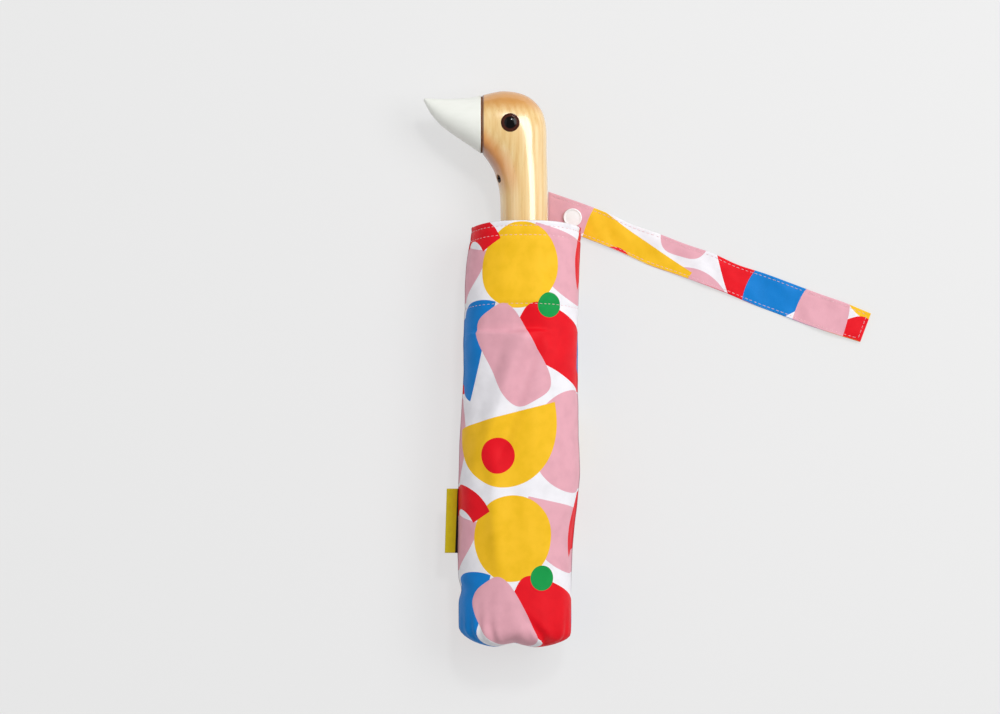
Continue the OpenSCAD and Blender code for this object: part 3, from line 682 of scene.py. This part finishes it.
def printed_shape(shade, where, kind, middle, half_size, turn):
    """1 inside one shape of the print and 0 outside it, wherever the repeat puts it."""
    middle = [c / 1000 for c in middle]
    near = shade.node("ShaderNodeVectorMath", {"operation": "WRAP"}, {
        0: where, 1: (middle[0] + print_repeat[0] / 2, middle[1] + print_repeat[1] / 2, 1),
        2: (middle[0] - print_repeat[0] / 2, middle[1] - print_repeat[1] / 2, -1)})
    local = shade.node("ShaderNodeMapping", {"vector_type": "TEXTURE"}, {
        "Vector": near, "Location": (*middle, 0), "Rotation": (0, 0, math.radians(turn)),
        "Scale": (half_size[0] / 1000, half_size[1] / 1000, 1)})
    along, up = parts_of(shade, local, "XY")
    along_squared, up_squared = along * along, up * up
    if kind == "block":
        return along_squared * along_squared + up_squared * up_squared < 1.0
    reach = along_squared + up_squared
    inside = reach < 1.0
    if kind in ("half", "arch"):
        inside = inside * (up > 0.0)
    if kind == "arch":
        inside = inside * (reach > 0.25)
    return inside


def printed_cloth(name, shift, turn, seams=()):
    """Polyester with an all-over print of plain discs, half discs, arches and blocks, over a fine weave."""
    material, shade, shader = new_finish(name)
    flat = shade.node("ShaderNodeUVMap", {"uv_map": "cloth"})
    lie = shade.node("ShaderNodeMapping", {}, {
        "Vector": flat, "Location": (*shift, 0), "Rotation": (0, 0, turn)})
    colour = white
    for kind, ink, middle, half_size, tilt in print_shapes:
        colour = blend_colours(shade, printed_shape(shade, lie, kind, middle, half_size, tilt), colour, ink)
    # The ink is a little uneven, and the threads and their small creases show through it
    fade = mottled(shade, flat, 120.0, 4.0)
    deep = shade.node("ShaderNodeHueSaturation", {}, {"Color": colour, "Value": 0.86, "Saturation": 1.03})
    colour = blend_colours(shade, ease(shade, fade, 0.35, 0.75) * 0.55, colour, deep)
    fu, fv = parts_of(shade, flat, "XY")
    thread_pitch = 0.00042
    weave = (shade.maths("SINE", fu * (2 * math.pi / thread_pitch))
             * shade.maths("SINE", fv * (2 * math.pi / thread_pitch)))
    pucker = mottled(shade, flat, 330.0, 3.0)
    colour = blend_colours(shade, ease(shade, weave, 0.2, 1.0) * 0.35, colour, deep)
    for seam in seams:
        off_seam = shade.maths("ABSOLUTE", fu - seam)
        in_shadow = 1 - ease(shade, off_seam, 0.0003, 0.0009)
        colour = blend_colours(shade, in_shadow * 0.6, colour, rgb(84, 48, 62))
    feed(shader, {
        "Base Color": colour,
        "Roughness": 0.50 + fade * 0.2,
        "Normal": bumped(shade, weave * 0.2 + pucker * 0.8, 0.00012, 0.45),
        "Sheen Weight": 0.02, "Sheen Roughness": 0.5, "Specular IOR Level": 0.2})
    return material


side_seams = (0.0, girth[sleeve_sides // 2], girth[sleeve_sides])
sleeve.data.materials.append(printed_cloth("sleeve_print", (0.012, 0.031), 0.0, seams=side_seams))
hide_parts("sleeve")
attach(sleeve, "sleeve")

# Sleeve's stitching
# Lockstitch in pale polyester thread: two rows close to the mouth and one at the foot of the deep hem.

stitch_len, stitch_gap, thread_r = 0.0019, 0.0008, 0.00017


def stitches_along(path):
    """One bead of thread after another along a list of points with outward directions."""
    knots, outs = zip(*path)
    travelled = [0.0]
    for a, b in zip(knots, knots[1:]):
        travelled.append(travelled[-1] + (b - a).length)

    def at(distance):
        k = 0
        while k < len(travelled) - 2 and travelled[k + 1] < distance:
            k += 1
        f = (distance - travelled[k]) / max(travelled[k + 1] - travelled[k], 1e-9)
        return knots[k].lerp(knots[k + 1], f), outs[k].lerp(outs[k + 1], f).normalized()

    pitch = stitch_len + stitch_gap
    beads = []
    for number in range(int(travelled[-1] / pitch)):
        start = number * pitch + stitch_gap / 2
        ahead = (at(start + stitch_len)[0] - at(start)[0]).normalized()
        rings = []
        for share in (0.0, 0.12, 0.35, 0.65, 0.88, 1.0):
            centre, up = at(start + stitch_len * share)
            side = ahead.cross(up).normalized()
            bead_r = thread_r * max(0.15, math.sin(math.pi * (0.08 + 0.84 * share)) ** 0.5)
            sink = thread_r * 0.9 * (1 - math.sin(math.pi * (0.06 + 0.88 * share)))
            rise = thread_r * 0.35 - sink
            rings.append([centre + up * (rise + bead_r * math.sin(t)) + side * bead_r * math.cos(t)
                          for t in turns(6)])
        beads.append(loft(rings))
    return beads


def stitched_rows(name, rows):
    """One piece with the stitches of several rows."""
    points, faces = [], []
    for row in rows:
        for bead_points, bead_faces in stitches_along(row):
            faces += [tuple(i + len(points) for i in face) for face in bead_faces]
            points += bead_points
    return outward(new_piece(name, points, faces))


def sleeve_row(from_mouth):
    """A path once round the sleeve, with the directions that point away from its middle."""
    u = 1 - from_mouth / sleeve_len
    row = []
    for s in range(sleeve_sides + 1):
        turn = 2 * math.pi * s / sleeve_sides
        here = sleeve_point(u, turn)
        ahead = sleeve_point(u, turn + 0.02) - here
        up_the_sleeve = sleeve_point(u + 0.002, turn) - here
        row.append((here, ahead.cross(up_the_sleeve).normalized()))
    middle = Vector((0, row[0][0].y, axis_h))
    return [(p, out if out.dot(p - middle) > 0 else -out) for p, out in row]


sleeve_stitches = stitched_rows("sleeve_stitches", [sleeve_row(line) for line in stitch_lines])
thread, shade, shader = new_finish("stitching_thread")
x, y, z = parts_of(shade, place_in_piece(shade), "XYZ")
twist = shade.maths("SINE", (x + y + z) * 9000.0)
thread_pink = blend_colours(shade, ease(shade, twist, -1.0, 1.0), rgb(218, 164, 172), rgb(238, 204, 208))
feed(shader, {
    "Base Color": thread_pink,
    "Roughness": 0.55 + twist * 0.08,
    "Normal": bumped(shade, twist, 0.00006, 0.5),
    "Sheen Weight": 0.3})
sleeve_stitches.data.materials.append(thread)
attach(sleeve_stitches, "sleeve")

# Tab
# A short loop of ribbed olive tape, caught in the left seam; it is left bare.

tab_from_end = 0.071
tab_len = 0.036
tab_reach = 7.5
tab_y = end_y + tab_from_end
tab_u = tab_from_end / sleeve_len
tab_edge = sleeve_middle(tab_u) - sleeve_half_w(tab_u)
# The loop's section in millimetres, from the seam: round its outside and back through the fold
upper_face = [(1.4, 0.38), (-4.0, 0.40), (-6.5, 0.42), (-7.2, 0.40), (-7.48, 0.2)]
upper_lining = [(-6.7, 0.08), (-4.0, 0.07), (1.4, 0.06)]
tab_section = upper_face + [(-tab_reach, 0.0)] + [(px, -pz) for px, pz in upper_face[::-1]]
tab_section += [(px, -pz) for px, pz in upper_lining[::-1]] + [(-7.0, 0.0)] + upper_lining
tab_steps = 60
tab_rings = []
for k in range(tab_steps + 1):
    f = k / tab_steps
    curl = 0.0007 * math.sin(3.0 * f + 0.4) - 0.0004
    lean = 0.0011 * (f - 0.5)
    ring = []
    for px, pz in tab_section:
        out = max(0.0, -px / tab_reach)
        ring.append(Vector((tab_edge + px / 1000 + lean * out, tab_y + (f - 0.5) * tab_len,
                            axis_h + pz / 1000 + curl * out ** 1.5)))
    tab_rings.append(ring)
tab = outward(new_piece("sleeve_tab_tape", *loft(tab_rings)))
tape, shade, shader = new_finish("olive_tape")
where = place_in_piece(shade)
x, y = parts_of(shade, where, "XY")
rib_pitch, cross_pitch = 0.00055, 0.0004
rib = shade.maths("SINE", y * (2 * math.pi / rib_pitch))
cross = shade.maths("SINE", x * (2 * math.pi / cross_pitch))
mottle = mottled(shade, where, 300.0, 3.0)
woven = ease(shade, rib * 0.6 + cross * 0.4 + mottle, -0.4, 1.4)
olive = blend_colours(shade, woven, rgb(190, 166, 6), rgb(224, 202, 26))
# Painted shadow darkens the tape beside the seam, more of it towards the closed end
painted_seam_shadow = ease(shade, x - (y - tab_y) * 0.039, tab_edge - 0.0018, tab_edge - 0.0014)
feed(shader, {
    "Base Color": blend_colours(shade, painted_seam_shadow, olive, rgb(26, 18, 16)),
    "Roughness": 0.62 + mottle * 0.2,
    "Normal": bumped(shade, rib * 0.5 + cross * 0.3, 0.00009, 0.6),
    "Sheen Weight": 0.04, "Specular IOR Level": 0.2})
tab.data.materials.append(tape)
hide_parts("sleeve_tab")
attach(tab, "sleeve")

# Strap
# The same printed cloth, folded to a flat band and stitched along both edges.
# Its root is sewn under the back panel at the mouth, and its free end carries the snap's stud.

strap_len = 0.191
strap_w = 0.017
near_len = 0.062
strap_root = Vector((0.0146, mouth_y + 0.0085, 0))
slope = math.radians(20.7)
strap_ahead = Vector((math.cos(slope), -math.sin(slope), 0))
strap_left = Vector((math.sin(slope), math.cos(slope), 0))
# How far each edge strays from the band's straight outline, and the band's height over the table,
# in millimetres at even steps from the root
upper_stray = [0.5, 1.0, 0.9, -0.2, 0.3, 0.2, 0.7, -0.3, 0.5, 0.6, 0.6, 1.0, 0.5]
lower_stray = [0.0, 0.2, 0.2, -0.2, -1.3, -0.9, -0.7, -0.7, -1.3, -1.3, -1.4, -0.8, 0.2]
strap_height = [2.15, 2.2, 2.2, 2.2, 1.9, 1.2, 0.95, 1.05, 1.7, 2.2,
                2.0, 1.3, 0.9, 0.85, 1.0, 1.5, 2.1, 2.2, 2.15]


def along_strap(values, s):
    """A smooth curve through a list that is spread evenly along the strap."""
    return smooth_through(values, s / strap_len * (len(values) - 1))


def strap_point(s, side, level):
    """A point of the strap: s along it in metres, side from -1 to 1 across it, level -1 below to 1 above."""
    height = along_strap(strap_height, s)
    wave = 0.25 * math.sin(s * 95 + 1.0) * side + 0.12 * math.sin(s * 230)
    wave += 0.75 * noise.noise(Vector((s * 95 + side * 0.7, side * 0.9, 6.3)))
    pucker = 0.07 * math.sin(s * 2400) * hump(abs(side) - 0.84, 0.12)
    thick = 0.52 + 0.05 * math.sin(s * 150 + side * 2) - 0.10 * hump(abs(side) - 0.80, 0.07)
    upper, lower = along_strap(upper_stray, s) / 1000, along_strap(lower_stray, s) / 1000
    from_line = (upper + lower) / 2 + side * (strap_w + upper - lower) / 2
    # The root is cut in line with the umbrella, and so runs aslant across the strap
    slant_len, flat_len = 0.02, 0.03
    s -= side * strap_w / 2 * math.tan(slope) * max(0.0, 1 - s / slant_len)
    here = strap_root + strap_ahead * s + strap_left * from_line
    lift = height + (wave if s > flat_len else wave * s / flat_len) + level * (thick + pucker)
    return Vector((here.x, here.y, max(lift, 0.1) / 1000))


# The band's section: side and level round its upper face and one edge, then the same turned over
face_steps = 24
section = [(-0.96 + 1.92 * k / face_steps, 1) for k in range(face_steps + 1)]
section += [(0.985, 0.8), (1.0, 0.35), (1.0, -0.35), (0.985, -0.8)]
section += [(-side, -level) for side, level in section]


def across_band(width):
    """Flat cloth coordinates round the section of a band."""
    places = [side * width / 2 if level > 0 else width - side * width / 2 for side, level in section]
    return places + [places[0] + 2 * width]


def strap_length(name, start, stop, close_start, close_stop):
    """One length of the strap, with rounded folds at the ends that are free."""
    count = round((stop - start) / 0.0011)
    along = [start + (stop - start) * k / count for k in range(count + 1)]
    rings = [[strap_point(s, side, level) for side, level in section] for s in along]
    fold = 0.0003

    def end_ring(s):
        return [strap_point(s, side * 0.985, level * 0.55) for side, level in section]

    if close_start:
        rings.insert(0, end_ring(start - fold))
        along.insert(0, start - fold)
    if close_stop:
        rings.append(end_ring(stop + fold))
        along.append(stop + fold)
    piece = new_piece(name, *loft(rings))
    spread_cloth(piece, across_band(strap_w), along)
    return crisp(outward(piece))


strap_print = printed_cloth("strap_print", (0.52, 0.47), 1.1)
near = strap_length("strap_near_half", 0.0, near_len, True, False)
far = strap_length("strap_far_half", near_len, strap_len, False, True)


def strap_row(points):
    """A path over the strap's upper face, through pairs of a place along it and a place across it."""
    return [(strap_point(s, side, 1), Vector((0, 0, 1))) for s, side in points]


def edge_rows(start, stop, steps=60):
    return [strap_row((start + (stop - start) * k / steps, side) for k in range(steps + 1))
            for side in (-0.82, 0.82)]


end_row = strap_row((0.1894, -0.8 + 1.6 * k / 12) for k in range(13))
near_stitches = stitched_rows("strap_near_stitches", edge_rows(0.002, near_len))
far_stitches = stitched_rows("strap_far_stitches", edge_rows(near_len, 0.189) + [end_row])
for piece in (near, far):
    piece.data.materials.append(strap_print)
for piece in (near_stitches, far_stitches):
    piece.data.materials.append(thread)
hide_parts("strap_root", "strap_middle")
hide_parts("strap_tail")
for piece in (near, near_stitches):
    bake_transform(piece)
for piece in (far, far_stitches):
    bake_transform(piece)

# Strap's tongue
# A short tongue of the same cloth, sewn under the sleeve's back panel, that carries the strap's root.

tongue_x, tongue_w, tongue_columns = 0.0152, 0.0110, 14
tongue_y, tongue_rows, row_pitch = 0.102, 27, 0.001
tongue_t = 0.0007
root_h = 0.00166
tongue_rings = []
for row in range(tongue_rows):
    py = tongue_y + row_pitch * row
    u = min((py - end_y) / sleeve_len, 1.0)
    level_off = step_up((py - 0.1150) / 0.0065)
    top_row = []
    for column in range(tongue_columns + 1):
        px = tongue_x + tongue_w * column / tongue_columns
        side = (px - sleeve_middle(u)) / sleeve_half_w(u)
        under = sleeve_point(u, 2 * math.pi - math.acos(side ** 1.25)).z - 0.0002
        top_row.append(Vector((px, py, under * (1 - level_off) + root_h * level_off)))
    tongue_rings.append(top_row + [p - Vector((0, 0, tongue_t)) for p in top_row[::-1]])
tongue = new_piece("strap_tongue", *loft(tongue_rings))
spread_cloth(tongue, [c * 0.0008 for c in range(len(tongue_rings[0]) + 1)],
             [row * row_pitch for row in range(tongue_rows)])
crisp(outward(tongue))
tongue.data.materials.append(strap_print)
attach(tongue, "sleeve")

# Snap
# A white plastic cap with a low rim on the strap's root, with plated rings below it and under the free end.

# Radius and height in millimetres, from the foot over the rim to the middle
cap_profile = [(0.3, 0.0), (4.9, 0.0), (5.25, 0.12), (5.3, 0.5), (5.28, 1.2), (5.18, 1.62), (4.95, 1.9),
               (4.65, 1.98), (4.4, 1.9), (4.3, 1.72), (4.0, 1.66), (3.0, 1.78), (2.0, 1.86), (1.0, 1.9),
               (0.05, 1.91)]
cap_at = strap_root + strap_ahead * 0.0144
cap_h = 0.0027
cap = outward(new_piece("snap_cap_moulded", *loft(turned_rings(cap_profile, 72))))
cap.location = (cap_at.x, cap_at.y, cap_h)
cap_white = speckled("glossy_cap_plastic", 500.0, 3.0, (rgb(252, 252, 253), rgb(246, 246, 248)), (0.16, 0.12),
                     (0.00003, 0.2), {"Coat Weight": 0.4, "Coat Roughness": 0.08})
cap.data.materials.append(cap_white)
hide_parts("snap_cap")
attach(cap, "sleeve")

# Folded canopy
# Eight panels of the same cloth, folded with the ribs, wrapped the same way round and tied with a band.

canopy_low, canopy_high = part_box("canopy")
canopy_len = canopy_high.y - canopy_low.y
bundle_r = 0.0219
panels = 8
lap_share = 0.86
lap_h = 0.0021
band_y = 0.037


def canopy_point(f, turn, inner=False):
    """A point of the bundle: f from 0 at the crown to 1 at the rib tips."""
    from_crown = canopy_len * f
    py = canopy_low.y + from_crown
    swirl = turn + 0.55 * f
    lap = (swirl / (2 * math.pi) * panels) % 1.0
    step = lap / lap_share if lap < lap_share else (1 - lap) / (1 - lap_share)
    shoulder = math.sin(min(1.0, (from_crown + 0.0015) / 0.013) * math.pi / 2) ** 0.6
    wrinkle = noise.noise(Vector((math.cos(turn) * 3, math.sin(turn) * 3, py * 26))) * 0.0005
    pressed = 0.0006 * hump(py - band_y, 0.010)
    radius = (bundle_r - lap_h + lap_h * step + min(wrinkle, 0.0002)) * (0.80 + 0.20 * shoulder) - pressed
    if inner:
        radius = min(radius - 0.0012, 0.0186)
    edge_wave = 0.0006 * math.sin(9 * turn) if f > 0.995 else 0
    return Vector((radius * math.cos(turn), py + edge_wave, axis_h + radius * math.sin(turn)))


canopy_sides, outer_steps, inner_steps = 256, 120, 20
crown_hole_r, crown_t = 0.0093, 0.0009
outer_skin = [[canopy_point(k / outer_steps, t) for t in turns(canopy_sides)] for k in range(outer_steps + 1)]
inner_skin = [[canopy_point(k / inner_steps, t, True) for t in turns(canopy_sides)]
              for k in range(inner_steps, -1, -1)]
inner_skin[-1] = [p + Vector((0, crown_t, 0)) for p in inner_skin[-1]]
crown_hole = [[Vector((crown_hole_r * math.cos(t), canopy_low.y + lift, axis_h + crown_hole_r * math.sin(t)))
               for t in turns(canopy_sides)] for lift in (crown_t, 0.0)]
points, faces = loft(outer_skin + inner_skin + crown_hole, capped=False)
last_ring = len(points) - canopy_sides
for s in range(canopy_sides):
    ahead = (s + 1) % canopy_sides
    faces.append((s, last_ring + s, last_ring + ahead, ahead))
canopy = new_piece("canopy_folded", points, faces)
along_canopy = [canopy_low.y + canopy_len * k / outer_steps for k in range(outer_steps + 1)]
along_canopy += [canopy_high.y + 0.001 + 0.2 * k / inner_steps for k in range(inner_steps + 1)]
along_canopy += [canopy_high.y + 0.21, canopy_high.y + 0.22]
spread_cloth(canopy, [s / canopy_sides * 0.14 for s in range(canopy_sides + 1)], along_canopy)
outward(canopy)
canopy.data.materials.append(printed_cloth("canopy_print", (0.11, 0.83), -0.4))
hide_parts("canopy")
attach(canopy, "umbrella_frame")

band_w, band_len, band_r, band_t = 0.014, 0.143, 0.02222, 0.0006
band_steps = 160
band_rings = []
for k in range(band_steps + 1):
    t = 2 * math.pi * k / band_steps
    ring = []
    for side, level in section:
        pucker = 0.00004 * math.sin(t * 60) * hump(abs(side) - 0.8, 0.15)
        r = band_r + band_t * (1 + level) / 2 + pucker
        ring.append(Vector((r * math.cos(t), band_y + side * band_w / 2, axis_h + r * math.sin(t))))
    band_rings.append(ring)
band = new_piece("canopy_tie_tape", *loft(band_rings))
spread_cloth(band, across_band(band_w), [k / band_steps * band_len for k in range(band_steps + 1)])
outward(band)
band.data.materials.append(printed_cloth("band_print", (0.77, 0.21), 0.2))
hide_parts("canopy_tie_band")
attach(band, "umbrella_frame")

# Table, light and camera
# A plain pale table under soft studio light, seen from straight above as in the photograph.

table_half = 4
table = new_piece("table", [(-table_half, -table_half, 0), (table_half, -table_half, 0),
                            (table_half, table_half, 0), (-table_half, table_half, 0)], [(0, 1, 2, 3)])
table_finish, shade, shader = new_finish("pale_table")
table_grey = rgb(235, 235, 235)
feed(shader, {"Base Color": table_grey, "Roughness": 0.9, "Specular IOR Level": 0.1})
in_camera, in_gloss, in_glass = (shade.node("ShaderNodeLightPath", {}, {}, kind) for kind in (
    "Is Camera Ray", "Is Glossy Ray", "Is Transmission Ray"))
seen = shade.maths("MAXIMUM", shade.maths("MAXIMUM", in_camera, in_gloss), in_glass)
glow = shade.node("ShaderNodeEmission", {}, {"Color": table_grey, "Strength": 1.0})
surface = Shade(shade.tree, shader.outputs[0])
mixed = shade.node("ShaderNodeMixShader", {}, {0: seen * 0.72, 1: surface, 2: glow})
shade.tree.links.new(mixed.socket, shade.tree.nodes["Material Output"].inputs["Surface"])
table.data.materials.append(table_finish)


def soft_lamp(name, place, size, power, spread=180):
    """A soft box that faces the umbrella; its spread is the angle in degrees that its grid lets out."""
    aim = Vector((0.0, 0.06, 0.02))
    lamp = bpy.data.lights.new(name, "AREA")
    lamp.shape = "RECTANGLE"
    lamp.size, lamp.size_y = size
    lamp.energy = power
    lamp.spread = math.radians(spread)
    thing = bpy.data.objects.new(name, lamp)
    thing.location = place
    thing.rotation_mode = "QUATERNION"
    thing.rotation_quaternion = (aim - Vector(place)).to_track_quat("-Z", "Y")
    bpy.context.scene.collection.objects.link(thing)


soft_lamp("key", (0.30, 0.95, 1.66), (0.24, 0.24), 8.4)
soft_lamp("side_box", (0.86, 0.45, 1.16), (1.10, 0.66), 11.6)
soft_lamp("edge_strip", (1.2, 0.12, 0.27), (0.9, 0.46), 0.20, spread=70)
soft_lamp("fill", (-1.3, 0.3, 1.3), (1.8, 1.4), 4.8)
world = bpy.data.worlds.new("studio")
world.use_nodes = True
world.node_tree.nodes["Background"].inputs["Color"].default_value = (1, 1, 1, 1)
world.node_tree.nodes["Background"].inputs["Strength"].default_value = 0.36
scene = bpy.context.scene
scene.world = world
scene.view_settings.view_transform = "Standard"

view_height = 2.5
view_width = 0.56
lens = bpy.data.cameras.new("camera")
lens.sensor_width = 36
lens.lens = lens.sensor_width * (view_height - axis_h) / view_width
lens.clip_end = 20
camera = bpy.data.objects.new("camera", lens)
camera.location = (-0.0129, 0.0437, view_height)
scene.collection.objects.link(camera)
scene.camera = camera
